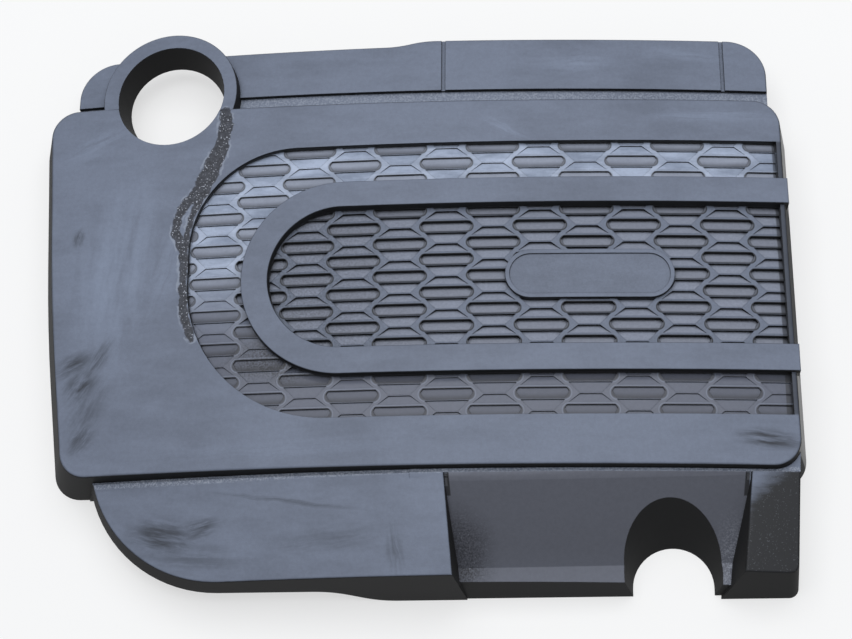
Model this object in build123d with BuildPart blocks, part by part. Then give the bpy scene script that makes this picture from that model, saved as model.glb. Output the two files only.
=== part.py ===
"""Engine cover: one crowned plastic moulding on four rubber ball-stud grommets.

Millimetres, +Z up. The origin is the centre of the footprint at the skirt's lower rim.
+X runs along the engine and the front of the cover faces -Y.
"""

import os
from math import hypot, radians, sqrt, tan

from build123d import *

# Shell
WALL = 2.8
SKIRT_DRAFT = 3.0
EDGE_RADIUS = 2.0
SECTION_EDGE_RADIUS = 1.5
FRAME_SHIFT_X = 3.5

# Crowned main panel
PANEL_HEIGHT = 77.0
CROWN_RADIUS = 1900.0
CROWN_APEX_X = 12.6
CROWN_APEX_Y = -13.0
PANEL_FRONT_Y = -131.0
PANEL_REAR_LEFT_Y = 152.0
PANEL_REAR_Y = 145.3
PANEL_REAR_RIGHT_Y = 142.3
PANEL_JOG_LEFT_X = -222.0
PANEL_JOG_RIGHT_X = -145.0
PANEL_LEFT_REAR_X = -264.8
PANEL_LEFT_MIDDLE_X = -257.3
PANEL_LEFT_MIDDLE_Y = 0.0
PANEL_LEFT_FRONT_X = -242.6
PANEL_RIGHT_REAR_X = 265.7
PANEL_RIGHT_FRONT_X = 268.5
PANEL_CORNER_RADIUS = 20.0
PANEL_JOG_RADIUS = 300.0
PANEL_LEFT_BOW_RADIUS = 1500.0
LEFT_DRAFT = 17.0
RIGHT_DRAFT = 9.0

# Sunk field, its raised band and the blank plate
FIELD_SINK = 4.8
FIELD_BACKING = 6.0
FIELD_AXIS_Y = 7.0
FIELD_HALF_WIDTH = 103.0
FIELD_NOSE_X = -161.0
FIELD_REAR_RADIUS = 78.0
FIELD_LIP = 3.5
FIELD_EDGE_Z = 60.0
BAND_RISE = 4.0
BAND_OUTER_RADIUS = 72.5
BAND_INNER_RADIUS = 53.0
BAND_CENTRE_X = -48.5
BAND_OVERHANG = 5.6
BAND_EDGE_RADIUS = 0.8
PLATE_X = 128.5
PLATE_LENGTH = 120.0
PLATE_WIDTH = 36.0
PLATE_RISE = 2.6
PLATE_BORDER = 3.0
PLATE_BORDER_RISE = 1.2

# Louvre relief
CELL_PITCH_X = 67.0
CELL_PITCH_Y = 25.0
CELL_PHASE_X = -40.45
CELL_PHASE_Y = 11.8
CELL_COLUMNS = range(-4, 11)
CELL_ROWS = range(-9, 10)
SLOT_LENGTH = 40.0
SLOT_FRONT_LENGTH = 31.0
SLOT_WIDTH = 8.0
SLOT_CORNER = 3.0
SLOT_FRONT_CORNER = 1.0
WAIST_LENGTH = 15.5
WAIST_DISTANCE = 16.4
RIB_WIDTH = 1.5
STEP_RIB = 0.8
SLOT_DEPTH = 3.8
FACET_DEPTH = 2.8
BAND_SLOT_DEPTH = 1.6
BAND_FACET_DEPTH = 1.2
FACET_FRONT_DEPTH = 0.35
FLOOR_LEDGE = 0.3

# Rear shelf
SHELF_REF_Z = 60.0
REAR_DROP = 12.0
REAR_SHELF_FRONT_LEFT_Y = 162.0
REAR_SHELF_FRONT_RIGHT_Y = 156.0
REAR_SHELF_LEFT_X = -254.8
REAR_SHELF_RIGHT_X = 262.0
REAR_LOW_Y = 197.0
REAR_HIGH_Y = 201.2
REAR_RIGHT_Y = 198.0
REAR_STEP_START_X = -20.0
REAR_STEP_END_X = 17.0
REAR_CORNER_RADIUS = 28.0
REAR_SKIRT_Z = 22.0
REAR_GROOVE_DEPTH = 4.0
SEAM_WIDTH = 3.0
SEAM_DEPTH = 2.0
SEAM_PLACES = (23.5, 230.5)

# Filler collar
COLLAR_X = -181.5
COLLAR_Y = 160.5
COLLAR_OUTER_RADIUS = 51.3
COLLAR_HOLE_RADIUS = 41.0
COLLAR_MOUTH_RADIUS = 36.5
COLLAR_TUBE_DEPTH = 33.0
COLLAR_STEP = 1.4
COLLAR_LEVEL_SHIFT = 45.0
COLLAR_EDGE_RADIUS = 1.0

# Front sections
FRONT_DROP = 6.0
FRONT_SHELF_REAR_Y = -134.5
FRONT_GROOVE_DEPTH = 2.5
LEFT_SECTION_X = -227.0
LEFT_SECTION_RADIUS = 97.0
LEFT_SECTION_REAR_END_X = 24.5
LEFT_SECTION_FRONT_END_X = 29.5
LEFT_SECTION_FRONT_Y = -206.0
LEFT_SECTION_REAR_Y = -95.0
LEFT_SECTION_TILT = 1.44
LEFT_SECTION_LEFT_DRAFT = 15.0
LEFT_SECTION_DRAFT = 6.0
MIDDLE_FRONT_Y = -199.7
MIDDLE_DRAFT = 11.0
RIGHT_SECTION_REF_Z = 47.0
RIGHT_SECTION_REAR_START_X = 235.4
RIGHT_SECTION_FRONT_START_X = 229.0
RIGHT_SECTION_REAR_X = 270.7
RIGHT_SECTION_FRONT_X = 266.0
RIGHT_SECTION_FRONT_Y = -204.0
RIGHT_SECTION_CORNER_RADIUS = 7.0
RIGHT_SECTION_LEFT_DRAFT = 15.0
RIGHT_SECTION_FRONT_DRAFT = 12.0
RIGHT_SECTION_RIGHT_DRAFT = 5.0
SLOPE_START_Y = -138.0
SLOPE_ANGLE = 26.0
SLOPE_CREST_RADIUS = 14.0
LIP_DROP = 35.6
RIM_LIFT = 25.0
RIM_LIFT_REAR_Y = -136.0
RIM_LIFT_END_X = -72.0
RIM_LAND_X = -12.0
SECTION_REAR_Y = -115.0
SECTION_SEAM_WIDTH = 2.2
SECTION_SEAM_DEPTH = 3.0
SECTION_SEAM_FRONT_Y = -150.0

# Front notch
NOTCH_X = 182.5
NOTCH_RIM_Y = -206.2
NOTCH_RIM_RADIUS = 28.6
NOTCH_LEAN = 21.4
NOTCH_FLARE = 18.5

# Grommet holders and grommets
HOLDER_LEFT_X = -215.0
HOLDER_RIGHT_X = 200.0
HOLDER_FRONT_Y = -112.0
HOLDER_REAR_LEFT_Y = 70.0
HOLDER_REAR_RIGHT_Y = 127.0
HOLDER_Z = 30.0
HOLDER_RADIUS = 13.0
HOLDER_FLOOR = 3.0
HOLDER_CEILING = 0.6
GROMMET_NECK_RADIUS = 7.5
GROMMET_CLEARANCE = 0.15
GROMMET_FLANGE_RADIUS = 11.5
GROMMET_FLANGE = 4.0
GROMMET_BEAD_RADIUS = 9.0
GROMMET_BEAD = 8.0
SOCKET_RADIUS = 5.0
SOCKET_DEPTH = 8.0
SOCKET_CHAMFER = 0.8

# Levels and places that follow from the sizes above
OVER = 1.0
HEADROOM = 20.0
SKY = PANEL_HEIGHT + BAND_RISE + HEADROOM
POLES_ALONG_Y = (90, 0, 0)
CROWN_CENTRE = (CROWN_APEX_X, CROWN_APEX_Y, PANEL_HEIGHT - CROWN_RADIUS)
FIELD_LEVEL = -FIELD_SINK
FIELD_UNDERSIDE = FIELD_LEVEL - FIELD_BACKING
FAR_FRONT_Y = 2 * LEFT_SECTION_FRONT_Y


def crown_height(x, y, level=0.0):
    """Height of the crown's surface, or of a level parallel to it, over a point of the plan."""
    radius = CROWN_RADIUS + level
    run = hypot(x - CROWN_APEX_X, y - CROWN_APEX_Y)
    return CROWN_CENTRE[2] + sqrt(radius**2 - run**2)


def crown_plane(x, y, level=0.0):
    """Plane that touches a level of the crown over a point of the plan."""
    point = Vector(x, y, crown_height(x, y, level))
    normal = (point - Vector(CROWN_CENTRE)).normalized()
    return Plane(origin=point, x_dir=(normal.Z, 0, -normal.X), z_dir=normal)


def under_crown(outline, low, level):
    """Upright prism of a plan outline, from a height up to a level of the crown."""
    with BuildPart() as prism:
        with BuildSketch(Plane.XY.offset(low)):
            add(outline)
        extrude(amount=SKY - low)
        with Locations(CROWN_CENTRE):
            Sphere(CROWN_RADIUS + level, rotation=POLES_ALONG_Y, mode=Mode.INTERSECT)
    return prism.part


def above_crown(outline, level):
    """Upright prism of a plan outline, from a level of the crown to clear above the cover."""
    with BuildPart() as prism:
        with BuildSketch(Plane.XY):
            add(outline)
        extrude(amount=SKY)
        with Locations(CROWN_CENTRE):
            Sphere(CROWN_RADIUS + level, rotation=POLES_ALONG_Y, mode=Mode.SUBTRACT)
    return prism.part


def drafted(outline, low, reference, draft, inset):
    """Prism that narrows upwards and has the outline's size at the reference height."""
    spread = (reference - low) * tan(radians(draft)) - inset
    with BuildPart() as prism:
        with BuildSketch(Plane.XY.offset(low)):
            add(outline)
            offset(amount=spread, kind=Kind.INTERSECTION)
        extrude(amount=SKY - low, taper=draft)
    return prism.part


def grown(outline, amount):
    """A plan outline drawn out, or in, by an amount."""
    with BuildSketch() as result:
        add(outline)
        offset(amount=amount, kind=Kind.INTERSECTION)
    return result.sketch


def rectangle(left, right, front, rear):
    """Plan rectangle between four coordinates."""
    with BuildSketch() as result:
        with Locations(((left + right) / 2, (front + rear) / 2)):
            Rectangle(right - left, rear - front)
    return result.sketch


def flared_corners(sides, rise, inset):
    """Corners of a plan at a height over its reference, each side leaning in by its own draft."""
    lines = []
    for start, end, draft in sides:
        along = (Vector(*end) - Vector(*start)).normalized()
        outward = Vector(along.Y, -along.X)
        lines.append((Vector(*start) - outward * (rise * tan(radians(draft)) + inset), along))
    corners = []
    for (point, along), (other, across) in zip(lines[-1:] + lines[:-1], lines):
        gap = other - point
        reach = (gap.X * across.Y - gap.Y * across.X) / (along.X * across.Y - along.Y * across.X)
        corners.append(point + along * reach)
    return corners


def flared_outline(sides, rounds, rise, inset):
    """Plan outline at a height over its reference, with round corners where a radius is given."""
    corners = flared_corners(sides, rise, inset)
    with BuildSketch() as outline:
        with BuildLine():
            Polyline(*corners, close=True)
        make_face()
        for corner, radius in zip(corners, rounds):
            if radius:
                fillet(outline.vertices().sort_by_distance(corner)[0], radius=radius - inset)
    return outline.sketch


def flared(sides, rounds, reference, low, inset):
    """Prism from a height upwards, each side leaning in by its own draft."""
    with BuildPart() as prism:
        for z in (low, SKY):
            with BuildSketch(Plane.XY.offset(z)):
                add(flared_outline(sides, rounds, z - reference, inset))
        loft()
    return prism.part


def panel_plan():
    """Sides and corner radii of the main panel, from its front left corner on."""
    corners = [
        (PANEL_LEFT_FRONT_X, PANEL_FRONT_Y),
        (PANEL_RIGHT_FRONT_X, PANEL_FRONT_Y),
        (PANEL_RIGHT_REAR_X, PANEL_REAR_RIGHT_Y),
        (PANEL_JOG_RIGHT_X, PANEL_REAR_Y),
        (PANEL_JOG_LEFT_X, PANEL_REAR_LEFT_Y),
        (PANEL_LEFT_REAR_X, PANEL_REAR_LEFT_Y),
        (PANEL_LEFT_MIDDLE_X, PANEL_LEFT_MIDDLE_Y),
    ]
    drafts = [SKIRT_DRAFT, RIGHT_DRAFT] + 3 * [SKIRT_DRAFT] + 2 * [LEFT_DRAFT]
    rounds = 3 * [PANEL_CORNER_RADIUS] + 2 * [PANEL_JOG_RADIUS]
    rounds += [PANEL_CORNER_RADIUS, PANEL_LEFT_BOW_RADIUS]
    return list(zip(corners, corners[1:] + corners[:1], drafts)), rounds


def panel_outline(height, inset):
    """Main panel's outline at a height."""
    return flared_outline(*panel_plan(), height - PANEL_HEIGHT, inset)


def field_outline():
    """Sunk field: open towards the right edge, with a wide round nose on the left."""
    front = FIELD_AXIS_Y - FIELD_HALF_WIDTH
    rear = FIELD_AXIS_Y + FIELD_HALF_WIDTH
    right = PANEL_RIGHT_FRONT_X + 2 * BAND_OVERHANG
    with BuildSketch() as outline:
        add(rectangle(FIELD_NOSE_X, right, front, rear))
        nose = outline.vertices().group_by(Axis.X)[0].sort_by(Axis.Y)
        fillet(nose[0], radius=FIELD_HALF_WIDTH)
        nose = outline.vertices().sort_by_distance((FIELD_NOSE_X, rear))
        fillet(nose[0], radius=FIELD_REAR_RADIUS)
    return outline.sketch


def tongue(radius, right):
    """Half disc drawn out to the right, on the field's axis."""
    with BuildSketch() as outline:
        with Locations((BAND_CENTRE_X, FIELD_AXIS_Y)):
            Circle(radius)
        add(rectangle(BAND_CENTRE_X, right, FIELD_AXIS_Y - radius, FIELD_AXIS_Y + radius))
    return outline.sketch


def band_outline():
    """Raised band: a U that lies on its side and stands past the panel's right edge."""
    right = PANEL_RIGHT_FRONT_X + 2 * BAND_OVERHANG
    with BuildSketch() as outline:
        add(tongue(BAND_OUTER_RADIUS, right))
        add(tongue(BAND_INNER_RADIUS, right + OVER), mode=Mode.SUBTRACT)
        add(panel_outline(PANEL_HEIGHT, -BAND_OVERHANG), mode=Mode.INTERSECT)
    return outline.sketch


def rear_shelf_outline():
    """Rear shelf: runs in under the panel, with a stepped rear edge."""
    middle = ((REAR_STEP_START_X + REAR_STEP_END_X) / 2, (REAR_LOW_Y + REAR_HIGH_Y) / 2)
    with BuildSketch() as outline:
        with BuildLine():
            left = Line((REAR_SHELF_LEFT_X, 0), (REAR_SHELF_LEFT_X, REAR_LOW_Y))
            low = Line(left @ 1, (REAR_STEP_START_X, REAR_LOW_Y))
            turn = TangentArc(low @ 1, middle, tangent=(1, 0))
            back = TangentArc(middle, (REAR_STEP_END_X, REAR_HIGH_Y), tangent=turn % 1)
            high = Line(back @ 1, (REAR_SHELF_RIGHT_X, REAR_RIGHT_Y))
            right = Line(high @ 1, (REAR_SHELF_RIGHT_X, 0))
            Line(right @ 1, left @ 0)
        make_face()
        for corner in ((REAR_SHELF_RIGHT_X, REAR_RIGHT_Y), (REAR_SHELF_LEFT_X, REAR_LOW_Y)):
            fillet(outline.vertices().sort_by_distance(corner)[0], radius=REAR_CORNER_RADIUS)
    return outline.sketch


def turned_dome(point, axis, angle):
    """Centre of the crown's sphere when that is turned about an axis through a point."""
    return Vector(*point) + (Vector(*CROWN_CENTRE) - Vector(*point)).rotate(axis, angle)


def left_section(inset):
    """Left front section: a long flat with a wide round left end, falling to the left."""
    front = (LEFT_SECTION_FRONT_END_X, LEFT_SECTION_FRONT_Y)
    rear = (LEFT_SECTION_REAR_END_X, FRONT_SHELF_REAR_Y)
    rear_left = (LEFT_SECTION_X, LEFT_SECTION_REAR_Y)
    sides = [
        ((LEFT_SECTION_X, LEFT_SECTION_FRONT_Y), front, LEFT_SECTION_DRAFT),
        (front, rear, LEFT_SECTION_DRAFT),
        ((LEFT_SECTION_REAR_END_X, LEFT_SECTION_REAR_Y), rear_left, 0),
        (rear_left, (LEFT_SECTION_X, LEFT_SECTION_FRONT_Y), LEFT_SECTION_LEFT_DRAFT),
    ]
    hinge = (LEFT_SECTION_REAR_END_X, 0, crown_height(LEFT_SECTION_REAR_END_X, CROWN_APEX_Y, -FRONT_DROP))
    dome = turned_dome(hinge, Axis.Y, -LEFT_SECTION_TILT)
    return front_section(sides, [LEFT_SECTION_RADIUS, 0, 0, 0], SHELF_REF_Z, dome, inset)


def right_section(inset):
    """Right front section: a narrow block with a round outer corner."""
    front_left = (RIGHT_SECTION_FRONT_START_X, RIGHT_SECTION_FRONT_Y)
    front_right = (RIGHT_SECTION_FRONT_X, RIGHT_SECTION_FRONT_Y)
    rear_right = (RIGHT_SECTION_REAR_X, FRONT_SHELF_REAR_Y)
    rear_left = (RIGHT_SECTION_REAR_START_X, FRONT_SHELF_REAR_Y)
    sides = [
        (front_left, front_right, RIGHT_SECTION_FRONT_DRAFT),
        (front_right, rear_right, RIGHT_SECTION_RIGHT_DRAFT),
        ((RIGHT_SECTION_REAR_X, SECTION_REAR_Y), (RIGHT_SECTION_REAR_START_X, SECTION_REAR_Y), 0),
        (rear_left, front_left, RIGHT_SECTION_LEFT_DRAFT),
    ]
    rounds = [0, RIGHT_SECTION_CORNER_RADIUS, 0, 0]
    return front_section(sides, rounds, RIGHT_SECTION_REF_Z, CROWN_CENTRE, inset)


def middle_section(inset):
    """Middle front section: a soft crest along the groove, a long slope and a lip at its foot."""
    low = -OVER if inset else 0
    right = (RIGHT_SECTION_FRONT_START_X + RIGHT_SECTION_FRONT_X) / 2
    sides = [
        ((0, MIDDLE_FRONT_Y), (right, MIDDLE_FRONT_Y), MIDDLE_DRAFT),
        ((right, MIDDLE_FRONT_Y), (right, SECTION_REAR_Y), 0),
        ((right, SECTION_REAR_Y), (0, SECTION_REAR_Y), 0),
        ((0, SECTION_REAR_Y), (0, MIDDLE_FRONT_Y), 0),
    ]
    radius = CROWN_RADIUS - FRONT_DROP - inset
    crest_x = (LEFT_SECTION_REAR_END_X + RIGHT_SECTION_REAR_START_X) / 2
    hinge = (CROWN_APEX_X, SLOPE_START_Y, crown_height(CROWN_APEX_X, SLOPE_START_Y, -FRONT_DROP))
    with BuildPart() as lip:
        add(flared(sides, 4 * [0], SHELF_REF_Z, low, inset))
        with Locations(CROWN_CENTRE):
            Sphere(CROWN_RADIUS - LIP_DROP - inset, rotation=POLES_ALONG_Y, mode=Mode.INTERSECT)
    with BuildPart() as block:
        add(flared(sides, 4 * [0], SHELF_REF_Z, low, inset))
        with Locations(CROWN_CENTRE):
            Sphere(radius, rotation=POLES_ALONG_Y, mode=Mode.INTERSECT)
        with Locations(turned_dome(hinge, Axis.X, SLOPE_ANGLE)):
            Sphere(radius, rotation=POLES_ALONG_Y, mode=Mode.INTERSECT)
        if not inset:
            crest = (crest_x, SLOPE_START_Y, crown_height(crest_x, SLOPE_START_Y, -FRONT_DROP))
            fillet(block.edges().sort_by_distance(crest)[0], radius=SLOPE_CREST_RADIUS)
        add(groove_room(CROWN_CENTRE, inset), mode=Mode.SUBTRACT)
        add(lip.part)
    return block.part


def groove_room(dome, inset):
    """Space of the groove between the panel and the front sections, over a dome."""
    left = PANEL_LEFT_REAR_X - SKY
    right = PANEL_RIGHT_FRONT_X + SKY
    with BuildPart() as room:
        with BuildSketch():
            add(rectangle(left, right, FRONT_SHELF_REAR_Y - inset, 0))
        extrude(amount=SKY)
        with Locations(dome):
            Sphere(
                CROWN_RADIUS - FRONT_DROP - FRONT_GROOVE_DEPTH - inset,
                rotation=POLES_ALONG_Y,
                mode=Mode.SUBTRACT,
            )
    return room.part


def notch(inset):
    """Leaning, tapered arch that is cut out of the front edge."""
    rise = PANEL_HEIGHT
    radius = NOTCH_RIM_RADIUS + inset
    with BuildPart() as arch:
        for z in (-OVER, rise):
            share = z / rise
            centre_y = NOTCH_RIM_Y + NOTCH_LEAN * share
            width = radius + NOTCH_FLARE * share
            with BuildSketch(Plane.XY.offset(z)):
                with Locations((NOTCH_X, centre_y)):
                    Circle(width)
                add(rectangle(NOTCH_X - width, NOTCH_X + width, FAR_FRONT_Y, centre_y))
        loft()
    return arch.part


def rim_lift():
    """Space under the left front section, where the skirt's lower rim is raised."""
    with BuildPart() as space:
        with BuildSketch(Plane.XZ.offset(-RIM_LIFT_REAR_Y)):
            with BuildLine():
                base = Line((LEFT_SECTION_X - 2 * RIM_LIFT, -OVER), (RIM_LAND_X + OVER, -OVER))
                toe = Line(base @ 1, (RIM_LAND_X, 0))
                ramp = Spline(toe @ 1, (RIM_LIFT_END_X, RIM_LIFT), tangents=((-1, 0), (-1, 0)))
                top = Line(ramp @ 1, (LEFT_SECTION_X - 2 * RIM_LIFT, RIM_LIFT))
                Line(top @ 1, base @ 0)
            make_face()
        extrude(amount=-FAR_FRONT_Y)
    return space.part


def front_sections(inset):
    """The three front sections, with the seams between them and the notch cut out."""
    with BuildPart() as sections:
        add(middle_section(inset))
        if not inset:
            add(section_seams(), mode=Mode.SUBTRACT)
        add(left_section(inset))
        add(right_section(inset))
        add(notch(inset), mode=Mode.SUBTRACT)
    return sections.part


def section_seams():
    """Narrow gaps along the middle section's crest, beside the left and the right section."""
    with BuildPart() as seams:
        for x in (LEFT_SECTION_REAR_END_X, RIGHT_SECTION_REAR_START_X):
            left = x - SECTION_SEAM_WIDTH
            strip = rectangle(left, x + SECTION_SEAM_WIDTH, SECTION_SEAM_FRONT_Y, FRONT_SHELF_REAR_Y)
            add(above_crown(strip, -FRONT_DROP - SECTION_SEAM_DEPTH))
    return seams.part


def front_section(sides, rounds, reference, dome, inset):
    """One raised front section under a dome, its top edge rounded on the outside."""
    low = -OVER if inset else 0
    with BuildPart() as block:
        add(flared(sides, rounds, reference, low, inset))
        with Locations(dome):
            Sphere(CROWN_RADIUS - FRONT_DROP - inset, rotation=POLES_ALONG_Y, mode=Mode.INTERSECT)
        if not inset:
            rim = block.faces().sort_by(Axis.Z)[-1].edges().sort_by(Axis.Y)
            fillet(rim[:-1], radius=SECTION_EDGE_RADIUS)
        add(groove_room(dome, inset), mode=Mode.SUBTRACT)
    return block.part


def rear_shelf(inset):
    """Rear shelf with the groove that parts it from the panel."""
    low = -OVER if inset else REAR_SKIRT_Z
    level = -REAR_DROP - inset
    with BuildSketch() as groove:
        with BuildLine():
            Polyline(
                (REAR_SHELF_LEFT_X - SKY, 0),
                (REAR_SHELF_RIGHT_X + SKY, 0),
                (REAR_SHELF_RIGHT_X + SKY, REAR_SHELF_FRONT_RIGHT_Y + inset),
                (REAR_SHELF_LEFT_X - SKY, REAR_SHELF_FRONT_LEFT_Y + inset),
                close=True,
            )
        make_face()
    with BuildPart() as shelf:
        add(drafted(rear_shelf_outline(), low, SHELF_REF_Z, SKIRT_DRAFT, inset))
        with Locations(CROWN_CENTRE):
            Sphere(CROWN_RADIUS + level, rotation=POLES_ALONG_Y, mode=Mode.INTERSECT)
        if not inset:
            rim = shelf.faces().sort_by(Axis.Z)[-1].edges().sort_by(Axis.Y)
            fillet(rim[1:], radius=SECTION_EDGE_RADIUS)
        add(above_crown(groove.sketch, level - REAR_GROOVE_DEPTH), mode=Mode.SUBTRACT)
    return shelf.part


def main_panel(inset):
    """Crowned panel on its skirt."""
    low = -OVER if inset else 0
    with BuildPart() as block:
        add(flared(*panel_plan(), PANEL_HEIGHT, low, inset))
        with Locations(CROWN_CENTRE):
            Sphere(CROWN_RADIUS - inset, rotation=POLES_ALONG_Y, mode=Mode.INTERSECT)
        if not inset:
            fillet(block.faces().sort_by(Axis.Z)[-1].edges(), radius=EDGE_RADIUS)
    return block.part


def collar_top():
    """Flat of the collar, just under the panel's rear edge and more level than the crown there."""
    height = crown_height(COLLAR_X, PANEL_REAR_Y) - COLLAR_STEP
    lean = crown_plane(COLLAR_X, PANEL_REAR_Y - COLLAR_LEVEL_SHIFT)
    return Plane(origin=(COLLAR_X, PANEL_REAR_Y, height), x_dir=lean.x_dir, z_dir=lean.z_dir)


def round_taper(radius, reference, slope, low, high):
    """Round tapered form about the collar's axis, with the radius at its reference height."""
    with BuildPart() as form:
        for z in (low, (low + high) / 2, high):
            with BuildSketch(Plane.XY.offset(z)):
                with Locations((COLLAR_X, COLLAR_Y)):
                    Circle(radius + (z - reference) * slope)
        loft()
    return form.part


def collar(inset):
    """Round tower of the filler collar, cut off along its flat."""
    low = -OVER if inset else REAR_SKIRT_Z
    top = collar_top().offset(-inset)
    slope = -tan(radians(SKIRT_DRAFT))
    with BuildPart() as tower:
        add(round_taper(COLLAR_OUTER_RADIUS - inset, SHELF_REF_Z, slope, low, SKY))
        split(bisect_by=top, keep=Keep.BOTTOM)
        if not inset:
            fillet(tower.faces().sort_by(Axis.Z)[-1].edges(), radius=COLLAR_EDGE_RADIUS)
    return tower.part


def collar_bore(inset, low):
    """Tapered bore of the collar's tube, or with an inset the tube's outside."""
    slope = (COLLAR_HOLE_RADIUS - COLLAR_MOUTH_RADIUS) / COLLAR_TUBE_DEPTH
    return round_taper(COLLAR_HOLE_RADIUS + inset, collar_top().origin.Z, slope, low, SKY)


def moulding(inset):
    """Solid form of the moulding, or with an inset the hollow one wall further in."""
    with BuildPart() as form:
        add(main_panel(inset))
        add(rear_shelf(inset))
        add(collar(inset))
        add(front_sections(inset))
    return form.part


def louvre(rear_length, front_length, rear_y, front_y, depth, cut_corners=False):
    """Wedge cut for one louvre facet: deep along its rear edge, rising towards the front."""
    run = rear_y - front_y
    rise = depth - FACET_FRONT_DEPTH
    slant = hypot(run, rise)
    facet = Plane(origin=(0, rear_y, -depth), x_dir=(1, 0, 0), z_dir=(0, rise, run))
    with BuildPart() as wedge:
        with BuildSketch(facet) as face:
            with BuildLine():
                Polyline(
                    (-rear_length / 2, 0),
                    (-front_length / 2, -slant),
                    (front_length / 2, -slant),
                    (rear_length / 2, 0),
                    close=True,
                )
            make_face()
            if cut_corners:
                chamfer(face.vertices().group_by(Axis.Y)[-1], length=SLOT_CORNER)
                chamfer(face.vertices().group_by(Axis.Y)[0], length=SLOT_FRONT_CORNER)
        extrude(amount=depth + OVER, dir=(0, 0, 1))
    return wedge.part


def cell(slot_depth, facet_depth):
    """One cell of the relief: a slot, then two facets that meet at a narrow waist."""
    slot_front = -SLOT_WIDTH
    waist = -WAIST_DISTANCE
    cell_front = RIB_WIDTH - CELL_PITCH_Y
    return [
        louvre(SLOT_LENGTH, SLOT_FRONT_LENGTH, 0, slot_front, slot_depth, cut_corners=True),
        louvre(SLOT_FRONT_LENGTH, WAIST_LENGTH, slot_front - STEP_RIB, waist, facet_depth),
        louvre(WAIST_LENGTH, SLOT_FRONT_LENGTH, waist - STEP_RIB, cell_front, facet_depth),
    ]


def cell_places():
    """Planes of the relief's cells on the field, sorted into the inner field and the outer band."""
    inner = []
    outer = []
    for column in CELL_COLUMNS:
        for row in CELL_ROWS:
            if (column + row) % 2 == 0:
                continue
            x = CELL_PHASE_X + column * CELL_PITCH_X / 2
            y = CELL_PHASE_Y + row * CELL_PITCH_Y / 2
            away = abs(y - WAIST_DISTANCE / 2 - FIELD_AXIS_Y)
            reach = hypot(min(x - BAND_CENTRE_X, 0), away)
            if reach > FIELD_HALF_WIDTH + CELL_PITCH_Y:
                continue
            place = crown_plane(x, y, FIELD_LEVEL)
            if reach < (BAND_INNER_RADIUS + BAND_OUTER_RADIUS) / 2:
                inner.append(place)
            else:
                outer.append(place)
    return inner, outer


def relief_room():
    """Plan of the field's open floor, a hair inside its walls and clear of the band and plate."""
    floor = panel_outline(FIELD_EDGE_Z, FIELD_LIP + FLOOR_LEDGE)
    with BuildSketch() as room:
        add(grown(field_outline(), -FLOOR_LEDGE))
        add(floor, mode=Mode.INTERSECT)
        add(grown(band_outline(), FLOOR_LEDGE), mode=Mode.SUBTRACT)
        add(grown(plate_outline(), FLOOR_LEDGE), mode=Mode.SUBTRACT)
    return room.sketch


def relief():
    """Louvre cuts of all the cells, trimmed to the field's open floor."""
    inner, outer = cell_places()
    with BuildPart() as cuts:
        with Locations(*inner):
            add(cell(SLOT_DEPTH, FACET_DEPTH))
        with Locations(*outer):
            add(cell(BAND_SLOT_DEPTH, BAND_FACET_DEPTH))
        with BuildSketch():
            add(relief_room())
        extrude(amount=SKY, mode=Mode.INTERSECT)
    return cuts.part


def band():
    """Raised band over the field, rounded along its top edges."""
    with BuildPart() as ring:
        add(under_crown(band_outline(), 0, BAND_RISE))
        with Locations(CROWN_CENTRE):
            Sphere(
                CROWN_RADIUS + FIELD_UNDERSIDE + OVER,
                rotation=POLES_ALONG_Y,
                mode=Mode.SUBTRACT,
            )
        fillet(ring.faces().sort_by(Axis.Z)[-1].edges(), radius=BAND_EDGE_RADIUS)
    return ring.part


def plate_outline():
    """Blank plate: a straight bar with round ends."""
    with BuildSketch() as outline:
        with Locations((PLATE_X, FIELD_AXIS_Y)):
            SlotOverall(PLATE_LENGTH, PLATE_WIDTH)
    return outline.sketch


def plate():
    """Blank plate on the field with a raised border."""
    inside = grown(plate_outline(), -PLATE_BORDER)
    with BuildPart() as pad:
        add(under_crown(plate_outline(), 0, FIELD_LEVEL + PLATE_RISE + PLATE_BORDER_RISE))
        add(above_crown(inside, FIELD_LEVEL + PLATE_RISE), mode=Mode.SUBTRACT)
        with Locations(CROWN_CENTRE):
            Sphere(
                CROWN_RADIUS + FIELD_UNDERSIDE + OVER,
                rotation=POLES_ALONG_Y,
                mode=Mode.SUBTRACT,
            )
    return pad.part


def holder_places():
    """Names and plan places of the four grommets."""
    return {
        "grommet_front_left": (HOLDER_LEFT_X, HOLDER_FRONT_Y),
        "grommet_front_right": (HOLDER_RIGHT_X, HOLDER_FRONT_Y),
        "grommet_rear_left": (HOLDER_LEFT_X, HOLDER_REAR_LEFT_Y),
        "grommet_rear_right": (HOLDER_RIGHT_X, HOLDER_REAR_RIGHT_Y),
    }


def holders():
    """Four hollow posts under the panel, each with a floor that a grommet snaps into."""
    with BuildSketch() as posts:
        with Locations(*holder_places().values()):
            Circle(HOLDER_RADIUS)
    with BuildPart() as group:
        add(under_crown(posts.sketch, HOLDER_Z, -WALL / 2))
        room = grown(posts.sketch, -WALL)
        add(under_crown(room, HOLDER_Z + HOLDER_FLOOR, -WALL - HOLDER_CEILING), mode=Mode.SUBTRACT)
        with BuildSketch(Plane.XY.offset(HOLDER_Z)):
            with Locations(*holder_places().values()):
                Circle(GROMMET_NECK_RADIUS)
        extrude(amount=HOLDER_FLOOR, mode=Mode.SUBTRACT)
    return group.part


def cover_hollow():
    """Room inside the cover, kept clear of the field's backing and the collar's tube."""
    backing = grown(field_outline(), WALL)
    tube_end = collar_top().origin.Z - COLLAR_TUBE_DEPTH
    with BuildPart() as hollow:
        add(moulding(WALL))
        add(above_crown(backing, FIELD_UNDERSIDE), mode=Mode.SUBTRACT)
        add(collar_bore(WALL, tube_end), mode=Mode.SUBTRACT)
    return hollow.part


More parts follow.
